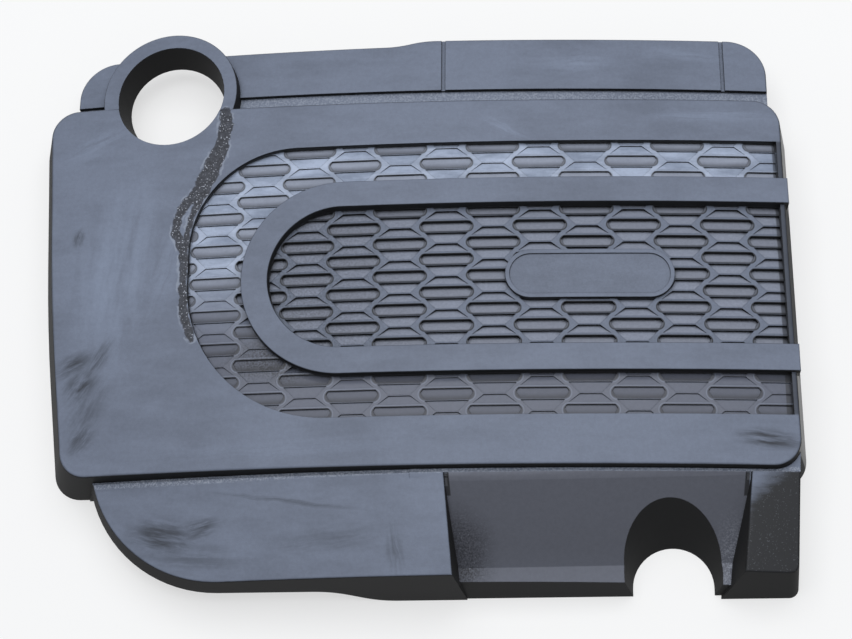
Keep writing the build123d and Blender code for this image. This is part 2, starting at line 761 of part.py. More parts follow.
def field_pocket():
    """Space over the sunk field, up to the thin lip along the panel's right edge."""
    with BuildPart() as pocket:
        add(above_crown(field_outline(), FIELD_LEVEL))
        add(flared(*panel_plan(), PANEL_HEIGHT, 0, FIELD_LIP), mode=Mode.INTERSECT)
    return pocket.part


def shelf_seams():
    """Narrow seams across the rear shelf, in line with the front sections."""
    with BuildPart() as seams:
        for x in SEAM_PLACES:
            half = SEAM_WIDTH / 2
            strip = rectangle(x - half, x + half, REAR_SHELF_FRONT_RIGHT_Y - OVER, 2 * REAR_HIGH_Y)
            add(above_crown(strip, -REAR_DROP - SEAM_DEPTH))
    return seams.part


with BuildPart() as drawn:
    add(moulding(0))
    add(cover_hollow(), mode=Mode.SUBTRACT)
    add(shelf_seams(), mode=Mode.SUBTRACT)
    add(rim_lift(), mode=Mode.SUBTRACT)
    add(collar_bore(0, -OVER), mode=Mode.SUBTRACT)
    add(field_pocket(), mode=Mode.SUBTRACT)
    add(holders())
    add(band())
    add(plate())
    add(relief(), mode=Mode.SUBTRACT)

with BuildPart() as cover:
    with Locations((FRAME_SHIFT_X, 0, 0)):
        add(drawn.part)
cover.part.label = "cover"

with BuildPart() as grommet:
    with BuildSketch(Plane.XZ):
        with BuildLine():
            neck = GROMMET_NECK_RADIUS - GROMMET_CLEARANCE
            Polyline(
                (0, 0),
                (GROMMET_FLANGE_RADIUS, 0),
                (GROMMET_FLANGE_RADIUS, GROMMET_FLANGE),
                (neck, GROMMET_FLANGE),
                (neck, GROMMET_FLANGE + HOLDER_FLOOR),
                (GROMMET_BEAD_RADIUS, GROMMET_FLANGE + HOLDER_FLOOR),
                (neck, GROMMET_FLANGE + HOLDER_FLOOR + GROMMET_BEAD),
                (0, GROMMET_FLANGE + HOLDER_FLOOR + GROMMET_BEAD),
                close=True,
            )
        make_face()
    revolve(axis=Axis.Z)
    with Locations((0, 0, SOCKET_DEPTH)):
        Sphere(SOCKET_RADIUS, mode=Mode.SUBTRACT)
    with BuildSketch(Plane.XY):
        Circle(SOCKET_RADIUS)
    extrude(amount=SOCKET_DEPTH, mode=Mode.SUBTRACT)
    mouth = grommet.faces().sort_by(Axis.Z)[0].edges().sort_by(SortBy.RADIUS)[0]
    chamfer(mouth, length=SOCKET_CHAMFER)

os.makedirs("parts", exist_ok=True)
export_step(cover.part, "parts/cover.step")
for name, (x, y) in holder_places().items():
    with BuildPart() as fitted:
        with Locations((x + FRAME_SHIFT_X, y, HOLDER_Z - GROMMET_FLANGE)):
            add(grommet.part)
    fitted.part.label = name
    export_step(fitted.part, f"parts/{name}.step")
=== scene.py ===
"""Engine cover: materials, stage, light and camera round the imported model.

Metres, in the model's own frame: +X along the engine, +Y towards the filler collar, +Z up.
Places, widths and levels on the cover are in millimetres of that frame.
A level is measured from the crown, a large sphere through the panel's top.
A span gives the two values at which a mask is 0 and 1.
"""

import math

import bpy
from mathutils import Matrix, Vector

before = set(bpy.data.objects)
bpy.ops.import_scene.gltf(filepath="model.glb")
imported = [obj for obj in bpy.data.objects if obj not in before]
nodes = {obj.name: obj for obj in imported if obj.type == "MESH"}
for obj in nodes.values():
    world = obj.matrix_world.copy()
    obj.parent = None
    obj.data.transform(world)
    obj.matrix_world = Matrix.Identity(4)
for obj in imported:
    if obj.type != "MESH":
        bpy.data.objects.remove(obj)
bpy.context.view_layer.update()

MM = 0.001

# Camera
CAMERA_TARGET = Vector((0.0155, -0.0250, 0.0720))
CAMERA_AZIMUTH = 13.4
CAMERA_ELEVATION = 71.5
CAMERA_ROLL = -14.05
CAMERA_DISTANCE = 1.416
CAMERA_FOCAL_PIXELS = 2000.0
IMAGE_WIDTH = 852
SENSOR_WIDTH = 36.0

# Stage and light
FLOOR_SEEN = (0.93, 0.93, 0.93, 1.0)
FLOOR_BOUNCE = (0.22, 0.22, 0.23, 1.0)
FLOOR_WHITE = 1.0
FLOOR_WHITE_SHARE = 0.6
FLOOR_HALF = 6.0
WORLD_COLOUR = (0.92, 0.95, 1.0, 1.0)
WORLD_STRENGTH = 0.30
KEY_PLACE = (0.05, 0.45, 2.3)
KEY_TARGET = (0.0, 0.0, 0.0)
KEY_SIZE = (2.2, 1.8)
KEY_POWER = 46.0
KEY_COLOUR = (0.97, 0.985, 1.0)

# Colours
BLACK_PLASTIC = (0.019, 0.019, 0.0195, 1.0)
# Haze on what faces up: partly dust, partly painted sheen of the light from above
DIM_HAZE_AND_SHEEN = (0.160, 0.184, 0.243, 1.0)
HAZE_AND_SHEEN = (0.198, 0.229, 0.303, 1.0)
PALE_HAZE_AND_SHEEN = (0.265, 0.312, 0.415, 1.0)
# Painted shade on the slope and a painted lighter crest
SLOPE_SHADED_HAZE = (0.132, 0.139, 0.169, 1.0)
CREST_LIT_HAZE = (0.172, 0.186, 0.230, 1.0)
# Painted sheen on the louvre facets and slots, paler at the rear, duller at the front
FACET_LIT_SHEEN = (0.46, 0.53, 0.68, 1.0)
FACET_SHADED_SHEEN = (0.130, 0.143, 0.190, 1.0)
INNER_FACET_SHEEN = (0.310, 0.340, 0.425, 1.0)
SLOT_LIT_SHEEN = (0.300, 0.320, 0.385, 1.0)
SLOT_SHADED_SHEEN = (0.115, 0.124, 0.160, 1.0)
DUST = (0.34, 0.375, 0.45, 1.0)
WET_PLASTIC = (0.024, 0.024, 0.028, 1.0)
WET_GREY = (0.058, 0.062, 0.076, 1.0)
SPECK = (0.46, 0.49, 0.56, 1.0)
RUBBER_COLOUR = (0.022, 0.022, 0.024, 1.0)
RUBBER_WORN = (0.038, 0.038, 0.039, 1.0)

# Shader values: plastic all over, roughness by place, share of the coat on glossy places
PLASTIC_IOR = 1.48
SPECULAR_LEVEL = 0.17
COAT_ROUGHNESS = 0.24
WALL_ROUGHNESS = 0.70
TOP_ROUGHNESS = 0.48
PALE_ROUGHNESS = 0.56
RIB_ROUGHNESS = 0.36
SLOT_ROUGHNESS = 0.50
RUBBER_ROUGHNESS = (0.72, 0.82)
COAT_SHARE = 0.4
STREAK_GLOSS = 0.4
FIELD_GLOSS = 0.6
WET_GLOSS = 0.15

# Softening of sharp edges, reach of the shade in crevices and height of the grain, in metres
EDGE_SOFTNESS = 0.0007
EDGE_RAYS = 4
CREVICE_REACH = 0.0035
CREVICE_RAYS = 4
GRAIN_HEIGHT = 0.00010
GRAIN_BUMP = 0.20
COARSE_HEIGHT = 0.00030
COARSE_BUMPS = (0.05, 0.35)

# Sizes and places of the crown, the field, the band and the blank plate
CROWN_RADIUS = 1900.0
CROWN_TOP = 77.0
CROWN_CENTRE = (16.1, -13.0, CROWN_TOP - CROWN_RADIUS)
FIELD_AXIS_Y = 7.0
FIELD_HALF_WIDTH = 103.0
FIELD_REACH = 128.0
FIELD_RIGHT_X = 266.5
FIELD_LEVEL = -4.8
BAND_CENTRE_X = -45.0
BAND_RADII = (52.5, 73.0)
BAND_MIDDLE_RADIUS = 62.7
PLATE_CENTRE = (132.0, 7.0)
PLATE_HALF = (60.0, 18.0)

# Louvre slots of the sunk field: lattice pitch, slot centres and half sizes
CELL_PITCH = (67.0, 25.0)
SLOT_CENTRES = ((-36.95, 20.3), (-3.45, 7.8))
SLOT_HALF_LENGTH = 19.3
SLOT_HALF_WIDTH = 4.2

# Grooves along the panel's edges, and the floor of the front one beside the left section
FRONT_GROOVE = (-134.8, -130.8)
REAR_GROOVE = (145.5, 158.7)
REAR_GROOVE_LEAN = 0.0116
SHORE_X = (30.0, -200.0)
SHORE_Y = (-135.0, -138.0)

# Front sections: lines beside the slope, seams along them, and the wet corner's slanted edge
SLOPE_LINE = ((28.0, -134.5), (33.0, -206.0))
SECTION_LINE = ((238.9, -134.5), (232.5, -204.0))
SEAM_FRONT_Y = -150.0
SEAM_WIDTH = 2.8
WET_LEAN = -0.75
WET_DRIFT = 9.0

# Runs of the dried wet streak beside the collar: x, y and half width
STREAK = (
    (
        (-134.5, 143.0, 4.5),
        (-133.5, 132.0, 5.0),
        (-135.0, 119.0, 5.0),
        (-138.5, 108.0, 6.0),
        (-142.5, 99.0, 6.5),
        (-146.5, 88.0, 7.0),
        (-151.5, 77.0, 6.5),
        (-160.0, 72.0, 3.4),
        (-165.5, 61.0, 3.2),
        (-168.0, 49.0, 3.4),
        (-164.0, 39.0, 3.4),
        (-161.0, 30.0, 3.4),
        (-160.5, 15.0, 3.0),
        (-160.5, -2.0, 3.2),
        (-158.8, -17.0, 3.5),
        (-155.4, -28.0, 3.6),
        (-153.2, -34.6, 2.6),
    ),
    (
        (-147.5, 80.0, 4.0),
        (-155.6, 61.0, 2.0),
        (-159.0, 47.0, 2.2),
        (-161.0, 30.0, 3.0),
    ),
)

# Soft wipes on the haze: x, y, half length, half width, turn in degrees and strength
DARK_WIPES = (
    (-240.0, -50.0, 21.0, 11.0, 25.0, 0.75),
    (-233.0, -65.0, 22.0, 14.0, 48.0, 0.80),
    (-222.0, -47.0, 24.0, 9.0, 58.0, 0.60),
    (-228.0, -84.0, 34.0, 16.0, 62.0, 0.40),
    (-231.0, -104.0, 18.0, 10.0, 48.0, 0.65),
    (-241.5, 48.0, 10.0, 6.0, 80.0, 0.60),
    (253.0, -113.5, 28.0, 8.5, -6.0, 0.95),
    (-172.0, -174.0, 33.0, 17.0, -14.0, 0.80),
    (-147.0, -170.0, 21.0, 10.0, 12.0, 0.70),
    (-150.0, -189.0, 48.0, 14.0, -4.0, 0.40),
    (-82.5, -152.0, 63.0, 2.2, -8.5, 0.60),
    (-7.0, -188.0, 24.0, 7.0, 96.0, 0.40),
    (-55.0, -180.0, 50.0, 11.0, 8.0, 0.28),
)
PALE_WIPES = (
    (-210.0, 20.0, 95.0, 46.0, 84.0, 0.75),
    (-233.0, 122.0, 34.0, 12.0, 24.0, 0.60),
    (-170.0, 30.0, 70.0, 16.0, 72.0, 0.45),
    (73.0, 121.0, 26.0, 5.0, -28.0, 0.60),
    (224.0, 130.0, 58.0, 6.5, 1.0, 0.70),
    (124.0, 180.0, 36.0, 11.0, 4.0, 0.55),
    (206.0, 187.0, 40.0, 9.0, -4.0, 0.45),
    (-90.0, -118.0, 120.0, 9.0, 2.0, 0.30),
)

# Dirty grain in the field's turn and wet grain on the slope: x, y and half sizes
FIELD_PATCH = (-92.0, -52.0, 46.0, 20.0)
WET_PATCH = (37.0, -188.0, 27.0, 34.0)

# Scale of a mark across the plan, so large that height makes no difference to it
ANY_HEIGHT = 1.0e6

# Half widths of soft mask edges
LINE_SOFT = 0.3
SEAM_SOFT = 0.4
FINE_EDGE = 0.5
SLOPE_EDGE = 0.6
STREAK_EDGE = 0.6
RIDGE_SOFT = 0.6
SHORE_EDGE = 0.8
BROAD_EDGE = 1.0

# Spans of direction, level and openness
TOP_FACING = (0.50, 0.97)
# Tilt of the slope's painted lighter crest
CREST_TILT = (-0.30, -0.06)
FIELD_DROP = (-1.8, -2.6)
GROOVE_DROP = (-4.0, -5.0)
PANEL_RISE = (-1.5, -0.7)
DEEP_DROP = (FIELD_LEVEL - 0.15, FIELD_LEVEL - 0.6)
# Level of the painted shade low inside the slots
FOOT_SHADE_RISE = (FIELD_LEVEL - 1.1, FIELD_LEVEL - 0.3)
# Openness at which crevices get painted shade
CREVICE_SHADE_SPAN = (0.62, 0.28)

# Spans of place
# Rear side, where the louvres get a paler painted sheen
REAR_SIDE_Y = (-45.0, 35.0)
REAR_GROOVE_START = (-140.0, -130.0)
SHORE_REAR_Y = (-130.8, -131.2)
SHORE_RIGHT_X = (28.0, 26.0)
FRONT_Y = (-133.5, -135.5)
# Places of the slope's painted lighter crest and lip
CREST_Y = (-175.0, -160.0)
LIP_Y = (-180.0, -206.0)
GRIT_X = (40.0, -70.0)
NOTCH_SIDE_X = (212.0, 226.0)
NOTCH_SIDE_Y = (-150.0, -200.0)
WET_SIDE = (-1.5, 0.5)
WET_INSET = (104.0, 128.0)
PLATE_EDGE = (PLATE_HALF[1] + 0.3, PLATE_HALF[1] + 0.8)
SLOT_INSIDE = (0.2, -0.6)
PATCH_FADE = (1.15, 0.25)
WIPE_FADE = (1.1, 0.1)

# Windows round the outlines of slots and of the streak: distances at which they start and end
# Painted highlight on the slots' shoulders
SHOULDER_HIGHLIGHT_GAP = (0.6, 1.2)
# Painted shade along the slots' outlines
OUTLINE_SHADE_GAP = (-0.45, 0.35)
RIDGE_GAP = (0.2, 1.6)

# Noise: scale, detail and roughness
GRAIN_NOISE = (1500.0, 2.0, 0.6)
COARSE_NOISE = (760.0, 3.0, 0.7)
MOTTLE_NOISE = (330.0, 4.0, 0.7)
CLOUD_NOISE = (8.0, 4.0, 0.6)
WIPE_NOISE = (48.0, 4.0, 0.65)
STREAKY_NOISE = (1.0, 3.0, 0.7)
BREAK_NOISE = (110.0, 2.0, 0.5)
FLECK_NOISE = (850.0, 1.0, 0.5)
RUBBER_NOISE = (900.0, 3.0, 0.6)
RUBBER_HEIGHT = 0.0001
RUBBER_BUMP = 0.2
WIPE_STRETCH = (0.45, 1.6, 1.0)
STREAKY_STRETCH = (0.9, 2.4, 0.0)

# Ragged outlines: scale of the noise and millimetres of drift
STREAK_RAGGED = (160.0, 6.0)
PATCH_RAGGED = (60.0, 16.0)
WIPE_RAGGED = (45.0, 5.0)
RAGGED_DETAIL = 3.0
NOISE_MIDDLE = (0.5, 0.5, 0.5)

# Spans of noise
CLOUD_SPAN = (0.36, 0.62)
STREAKY_SPAN = (0.26, 0.66)
FACET_SPAN = (0.3, 0.7)
GRIT_SPAN = (0.25, 0.8)
DIRT_SPAN = (0.66, 0.34)
MOTTLE_SPAN = (0.25, 0.75)
GRAIN_SPAN = (0.2, 0.8)
DUST_SPAN = (0.40, 0.66)
BREAK_SPAN = (0.46, 0.60)
WET_EDGE_SPAN = (0.2, 0.8)
WET_MOTTLE_SPAN = (0.35, 0.70)
WET_GRAIN_SPAN = (0.62, 0.36)
FLECK_SPAN = (0.645, 0.71)
SPECKLE_SPAN = (0.44, 0.62)
RUBBER_SPAN = (0.3, 0.7)

# Shares of the haze and painted sheen that are left in places
GRIT_HAZE = (0.80, 0.50)
MOTTLE_HAZE = (0.89, 1.0)
GRAIN_HAZE = (0.92, 1.0)
WET_HAZE = 0.04
RIM_HAZE = 0.35

# Shares of marks in the colour under them
CLOUD_SHARE = 0.6
# Painted sheen on the slope's lip
LIP_SHEEN_SHARE = 0.45
SLOT_SHARE = 0.7
DIRT_SHARE = 0.75
# Painted shade low inside the slots
FOOT_SHADE_SHARE = 0.55
REAR_GROOVE_SHARE = 0.7
# Painted highlight on the slots' shoulders
SHOULDER_HIGHLIGHT_SHARE = 0.32
# Painted shade along the slots' outlines
INNER_LINE_SHADE = 0.9
FRONT_LINE_SHADE = 0.35
REAR_LINE_SHADE = 0.75
# Painted shade in crevices and along the seams
CREVICE_SHADE_SHARE = 0.9
GROOVE_CREVICE_SHADE_SHARE = 0.3
SEAM_SHADE_SHARE = 0.85
RIDGE_SHARE = 0.5
SOAKED_SHARE = 0.92
WET_GRAIN_SHARES = (0.35, 0.95)
STREAK_FLECKS = 0.95
PATCH_FLECKS = 0.20
WET_FLECKS = 0.10
SPECKLE_SHARE = 0.45

# Sockets of the Mix node: first input, second input and output
COLOUR_SOCKETS = (6, 7, 2)
NUMBER_SOCKETS = (2, 3, 0)


class Graph:
    """Short way to add nodes and links to one material."""

    def __init__(self, name):
        self.material = bpy.data.materials.new(name)
        self.material.use_nodes = True
        self.tree = self.material.node_tree
        self.tree.nodes.clear()
        self.output = self.tree.nodes.new("ShaderNodeOutputMaterial")

    def node(self, kind, inputs=None, **settings):
        made = self.tree.nodes.new(kind)
        for key, value in settings.items():
            setattr(made, key, value)
        for key, value in (inputs or {}).items():
            self.put(made.inputs[key], value)
        return made

    def put(self, socket, value):
        if isinstance(value, bpy.types.NodeSocket):
            self.tree.links.new(value, socket)
        else:
            socket.default_value = value

    def math(self, operation, first, second=0.0, clamp=False):
        made = self.node("ShaderNodeMath", {0: first, 1: second}, operation=operation)
        made.use_clamp = clamp
        return made.outputs[0]

    def product(self, *factors):
        result = factors[0]
        for factor in factors[1:]:
            result = self.math("MULTIPLY", result, factor)
        return result

    def least(self, values):
        result = values[0]
        for value in values[1:]:
            result = self.math("MINIMUM", result, value)
        return result

    def most(self, *values):
        result = values[0]
        for value in values[1:]:
            result = self.math("MAXIMUM", result, value)
        return result

    def inverse(self, value):
        return self.math("SUBTRACT", 1.0, value)

    def vector(self, operation, first, second=None, scale=None):
        made = self.node("ShaderNodeVectorMath", {0: first}, operation=operation)
        if second is not None:
            self.put(made.inputs[1], second)
        if scale is not None:
            self.put(made.inputs["Scale"], scale)
        gives_number = operation in ("LENGTH", "DOT_PRODUCT", "DISTANCE")
        return made.outputs["Value" if gives_number else "Vector"]

    def split(self, value):
        return self.node("ShaderNodeSeparateXYZ", {0: value}).outputs

    def noise(self, place, scale, detail, roughness):
        inputs = {"Vector": place, "Scale": scale, "Detail": detail, "Roughness": roughness}
        return self.node("ShaderNodeTexNoise", inputs).outputs["Fac"]

    def ramp(self, value, span, ends=(0.0, 1.0)):
        """Value stretched from a span onto two end values, with soft ends."""
        inputs = {
            "Value": value,
            "From Min": span[0],
            "From Max": span[1],
            "To Min": ends[0],
            "To Max": ends[1],
        }
        made = self.node("ShaderNodeMapRange", inputs, interpolation_type="SMOOTHSTEP")
        return made.outputs["Result"]

    def beyond(self, value, limit, soft):
        """1 above a limit and 0 below it."""
        return self.ramp(value, (limit - soft, limit + soft))

    def within(self, value, limit, soft):
        """1 below a limit and 0 above it."""
        return self.ramp(value, (limit + soft, limit - soft))

    def window(self, value, limits, soft):
        """1 between two limits and 0 outside, with soft flanks."""
        low, high = limits
        return self.math("SUBTRACT", self.beyond(value, low, soft), self.beyond(value, high, soft))

    def join(self, data_type, sockets, share, first, second):
        made = self.node("ShaderNodeMix", {"Factor": share}, data_type=data_type)
        first_socket, second_socket, result = sockets
        self.put(made.inputs[first_socket], first)
        self.put(made.inputs[second_socket], second)
        return made.outputs[result]

    def mix(self, share, first, second):
        """Colour between two colours."""
        return self.join("RGBA", COLOUR_SOCKETS, share, first, second)

    def blend(self, share, first, second):
        """Number between two numbers."""
        return self.join("FLOAT", NUMBER_SOCKETS, share, first, second)

    def bump(self, height, strength, distance, normal=None):
        inputs = {"Height": height, "Strength": strength, "Distance": distance}
        if normal is not None:
            inputs["Normal"] = normal
        return self.node("ShaderNodeBump", inputs).outputs["Normal"]

    def finish(self, shader):
        """Material with a shader node on its surface."""
        self.put(self.output.inputs["Surface"], shader.outputs[0])
        return self.material


class Cover:
    """Places, levels and masks of the plastic cover in one material's nodes."""

    def __init__(self, graph):
        self.graph = graph
        self.measure()
        self.make_noise()
        self.mark_field()
        self.mark_louvres()
        self.mark_grooves()
        self.mark_front()
        self.mark_streak()
        self.pale = self.wipes(PALE_WIPES)

    def measure(self):
        """Plan place, softened normal, openness, level and distance from the field's axis."""
        graph = self.graph
        self.place = graph.node("ShaderNodeTexCoord").outputs["Object"]
        millimetres = graph.vector("SCALE", self.place, scale=1.0 / MM)
        self.x, self.y, _ = graph.split(millimetres)
        self.plan = graph.node("ShaderNodeCombineXYZ", {0: self.x, 1: self.y}).outputs[0]
        softened = graph.node("ShaderNodeBevel", {"Radius": EDGE_SOFTNESS}, samples=EDGE_RAYS)
        self.normal = softened.outputs[0]
        _, self.tilt, self.facing = graph.split(self.normal)
        shade = graph.node("ShaderNodeAmbientOcclusion", {"Distance": CREVICE_REACH}, samples=CREVICE_RAYS)
        shade.only_local = True
        self.openness = shade.outputs["AO"]
        self.level = graph.math("SUBTRACT", graph.vector("DISTANCE", millimetres, CROWN_CENTRE), CROWN_RADIUS)
        along = graph.math("MINIMUM", graph.math("SUBTRACT", self.x, BAND_CENTRE_X), 0.0)
        across = graph.math("SUBTRACT", self.y, FIELD_AXIS_Y)
        offset = graph.node("ShaderNodeCombineXYZ", {0: along, 1: across}).outputs[0]
        self.off_axis = graph.vector("LENGTH", offset)

    def make_noise(self):
        """Noise of the surface, from fine grain to broad clouds and long wipes."""
        graph = self.graph
        self.grain = graph.noise(self.place, *GRAIN_NOISE)
        self.coarse = graph.noise(self.place, *COARSE_NOISE)
        self.mottle = graph.noise(self.place, *MOTTLE_NOISE)
        self.cloud = graph.noise(self.place, *CLOUD_NOISE)
        self.wipe = graph.noise(graph.vector("MULTIPLY", self.place, WIPE_STRETCH), *WIPE_NOISE)

    def mark_field(self):
        """What faces up, the sunk field outside and inside the band, and its open right rim."""
        graph = self.graph
        self.top = graph.ramp(self.facing, TOP_FACING)
        field_edge = graph.within(self.off_axis, FIELD_REACH, FINE_EDGE)
        self.field = graph.product(graph.ramp(self.level, FIELD_DROP), field_edge)
        self.beside = graph.beyond(self.off_axis, BAND_MIDDLE_RADIUS, BROAD_EDGE)
        self.outer = graph.product(self.field, self.beside)
        self.inner = graph.product(self.field, graph.inverse(self.beside))
        self.rear_side = graph.ramp(self.y, REAR_SIDE_Y)
        self.rim = graph.product(
            graph.beyond(self.x, FIELD_RIGHT_X, FINE_EDGE),
            graph.within(self.off_axis, FIELD_HALF_WIDTH, BROAD_EDGE),
            graph.inverse(graph.window(self.off_axis, BAND_RADII, FINE_EDGE)),
        )

    def mark_louvres(self):
        """Louvred part of the field, outside the blank plate, and the inside of its slots."""
        graph = self.graph
        to_plate = self.to_core(graph.vector("SUBTRACT", self.plan, (*PLATE_CENTRE, 0.0)), *PLATE_HALF)
        self.louvred = graph.product(self.field, graph.ramp(to_plate, PLATE_EDGE), self.top)
        self.slot_gap = self.to_slot()
        self.in_slot = graph.product(graph.ramp(self.slot_gap, SLOT_INSIDE), self.louvred)

    def mark_grooves(self):
        """Floors of the grooves along the panel's front and rear edges."""
        graph = self.graph
        low = graph.ramp(self.level, GROOVE_DROP)
        front = graph.window(self.y, FRONT_GROOVE, LINE_SOFT)
        leaning = graph.math("ADD", self.y, graph.math("MULTIPLY", self.x, REAR_GROOVE_LEAN))
        rear = graph.window(leaning, REAR_GROOVE, FINE_EDGE)
        rear = graph.product(rear, graph.ramp(self.x, REAR_GROOVE_START), REAR_GROOVE_SHARE)
        past_shore = graph.math("SUBTRACT", self.y, graph.ramp(self.x, SHORE_X, SHORE_Y))
        shore = graph.product(
            graph.beyond(past_shore, 0.0, SHORE_EDGE),
            graph.ramp(self.y, SHORE_REAR_Y),
            graph.ramp(self.x, SHORE_RIGHT_X),
        )
        self.groove = graph.product(graph.most(front, rear, shore), low)

    def mark_front(self):
        """The slope of the front edge, the seams beside it and the wet right section."""
        graph = self.graph
        front = graph.ramp(self.y, FRONT_Y)
        into_slope = self.past_line(SLOPE_LINE)
        past_slope = self.past_line(SECTION_LINE)
        self.slope = graph.product(
            front,
            graph.beyond(into_slope, 0.0, SLOPE_EDGE),
            graph.within(past_slope, 0.0, SLOPE_EDGE),
        )
        seams = graph.most(
            graph.window(into_slope, (-SEAM_SOFT, SEAM_WIDTH), SEAM_SOFT),
            graph.window(past_slope, (-SEAM_WIDTH, SEAM_SOFT), SEAM_SOFT),
        )
        # Mask of the painted shade along the seams
        self.seam = graph.product(seams, front, graph.beyond(self.y, SEAM_FRONT_Y, FINE_EDGE))
        inset = graph.math("ADD", past_slope, graph.math("MULTIPLY", self.y, WET_LEAN))
        inset = graph.math("ADD", inset, graph.ramp(self.wipe, WET_EDGE_SPAN, (-WET_DRIFT, WET_DRIFT)))
        self.wet = graph.product(graph.ramp(past_slope, WET_SIDE), graph.ramp(inset, WET_INSET), front)

    def mark_streak(self):
        """The dried streak on the panel beside the collar."""
        graph = self.graph
        self.streak_gap = self.to_streak()
        self.on_panel = graph.ramp(self.level, PANEL_RISE)
        self.soaked = graph.product(graph.within(self.streak_gap, 0.0, STREAK_EDGE), self.on_panel)

    def ragged(self, scale, amount):
        """Plan place pushed about by noise, for ragged outlines."""
        graph = self.graph
        inputs = {"Vector": self.place, "Scale": scale, "Detail": RAGGED_DETAIL}
        drift = graph.node("ShaderNodeTexNoise", inputs).outputs["Color"]
        drift = graph.vector("SUBTRACT", drift, NOISE_MIDDLE)
        return graph.vector("ADD", self.plan, graph.vector("SCALE", drift, scale=amount))

    def past_line(self, line):
        """How far a place lies to the right of a line across the front."""
        graph = self.graph
        (rear_x, rear_y), (front_x, front_y) = line
        lean = (rear_x - front_x) / (rear_y - front_y)
        edge = graph.math("ADD", graph.math("MULTIPLY", self.y, lean), rear_x - lean * rear_y)
        return graph.math("SUBTRACT", self.x, edge)

    def to_core(self, local, half_length, half_width):
        """Distance to the core line of a stadium along X, round the local origin."""
        graph = self.graph
        core = (half_length - half_width, 0.0, 0.0)
        past_core = graph.vector("SUBTRACT", graph.vector("ABSOLUTE", local), core)
        return graph.vector("LENGTH", graph.vector("MAXIMUM", past_core, (0.0, 0.0, 0.0)))

    def to_slot(self):
        """Distance to the outline of the nearest louvre slot, negative inside."""
        graph = self.graph
        half = (CELL_PITCH[0] / 2, CELL_PITCH[1] / 2, 1.0)
        gaps = []
        for centre in SLOT_CENTRES:
            local = graph.vector("SUBTRACT", self.plan, (*centre, 0.0))
            inputs = {0: local, 1: half, 2: tuple(-side for side in half)}
            local = graph.node("ShaderNodeVectorMath", inputs, operation="WRAP").outputs[0]
            gaps.append(self.to_core(local, SLOT_HALF_LENGTH, SLOT_HALF_WIDTH))
        return graph.math("SUBTRACT", graph.least(gaps), SLOT_HALF_WIDTH)

    def to_run(self, place, start, end):
        """Distance to one run of the streak, less its half width."""
        graph = self.graph
        run = (end[0] - start[0], end[1] - start[1], 0.0)
        square = run[0] ** 2 + run[1] ** 2
        local = graph.vector("SUBTRACT", place, (start[0], start[1], 0.0))
        share = graph.math("DIVIDE", graph.vector("DOT_PRODUCT", local, run), square, clamp=True)
        flat = graph.vector("MULTIPLY", local, (1.0, 1.0, 0.0))
        gap = graph.vector("DISTANCE", flat, graph.vector("SCALE", run, scale=share))
        return graph.math("SUBTRACT", gap, graph.blend(share, start[2], end[2]))

    def to_streak(self):
        """Distance to the outline of the nearest run of the streak, negative inside."""
        place = self.ragged(*STREAK_RAGGED)
        gaps = [self.to_run(place, start, end) for line in STREAK for start, end in zip(line, line[1:])]
        return self.graph.least(gaps)

    def patch(self, mark):
        """Soft ragged patch round a place."""
        graph = self.graph
        x, y, length, width = mark
        local = graph.vector("SUBTRACT", self.ragged(*PATCH_RAGGED), (x, y, 0.0))
        local = graph.vector("DIVIDE", local, (length, width, ANY_HEIGHT))
        return graph.ramp(graph.vector("LENGTH", local), PATCH_FADE)

    def wipes(self, marks):
        """Soft wipes, each with streaks along its own length."""
        graph = self.graph
        place = self.ragged(*WIPE_RAGGED)
        spots = []
        for x, y, length, width, turn, strength in marks:
            inputs = {
                "Vector": place,
                "Location": (x, y, 0.0),
                "Rotation": (0.0, 0.0, math.radians(turn)),
                "Scale": (length, width, ANY_HEIGHT),
            }
            local = graph.node("ShaderNodeMapping", inputs, vector_type="TEXTURE").outputs[0]
            spot = graph.ramp(graph.vector("LENGTH", local), WIPE_FADE, (0.0, strength))
            along = graph.vector("ADD", graph.vector("MULTIPLY", local, STREAKY_STRETCH), (x, y, 0.0))
            streaks = graph.ramp(graph.noise(along, *STREAKY_NOISE), STREAKY_SPAN)
            spots.append(graph.product(spot, streaks))
        return graph.most(*spots)


def haze_and_sheen_colour(cover):
    """Haze and painted sheen on what faces up: clouds, pale wipes, painted shade on the slope and a painted
    lighter crest and lip.
    """
    graph = cover.graph
    broad = graph.math("MULTIPLY", cover.cloud, CLOUD_SHARE)
    cloudy = graph.math("ADD", broad, graph.math("MULTIPLY", cover.wipe, 1.0 - CLOUD_SHARE))
    haze_and_sheen = graph.mix(graph.ramp(cloudy, CLOUD_SPAN), DIM_HAZE_AND_SHEEN, HAZE_AND_SHEEN)
    haze_and_sheen = graph.mix(cover.pale, haze_and_sheen, PALE_HAZE_AND_SHEEN)
    # Painted shade on the slope, with a painted lighter crest where it tilts less and a painted lighter lip
    # at its foot
    crest_sheen = graph.product(graph.ramp(cover.tilt, CREST_TILT), graph.ramp(cover.y, CREST_Y))
    crest_sheen = graph.most(crest_sheen, graph.ramp(cover.y, LIP_Y, (0.0, LIP_SHEEN_SHARE)))
    return graph.mix(cover.slope, haze_and_sheen, graph.mix(crest_sheen, SLOPE_SHADED_HAZE, CREST_LIT_HAZE))


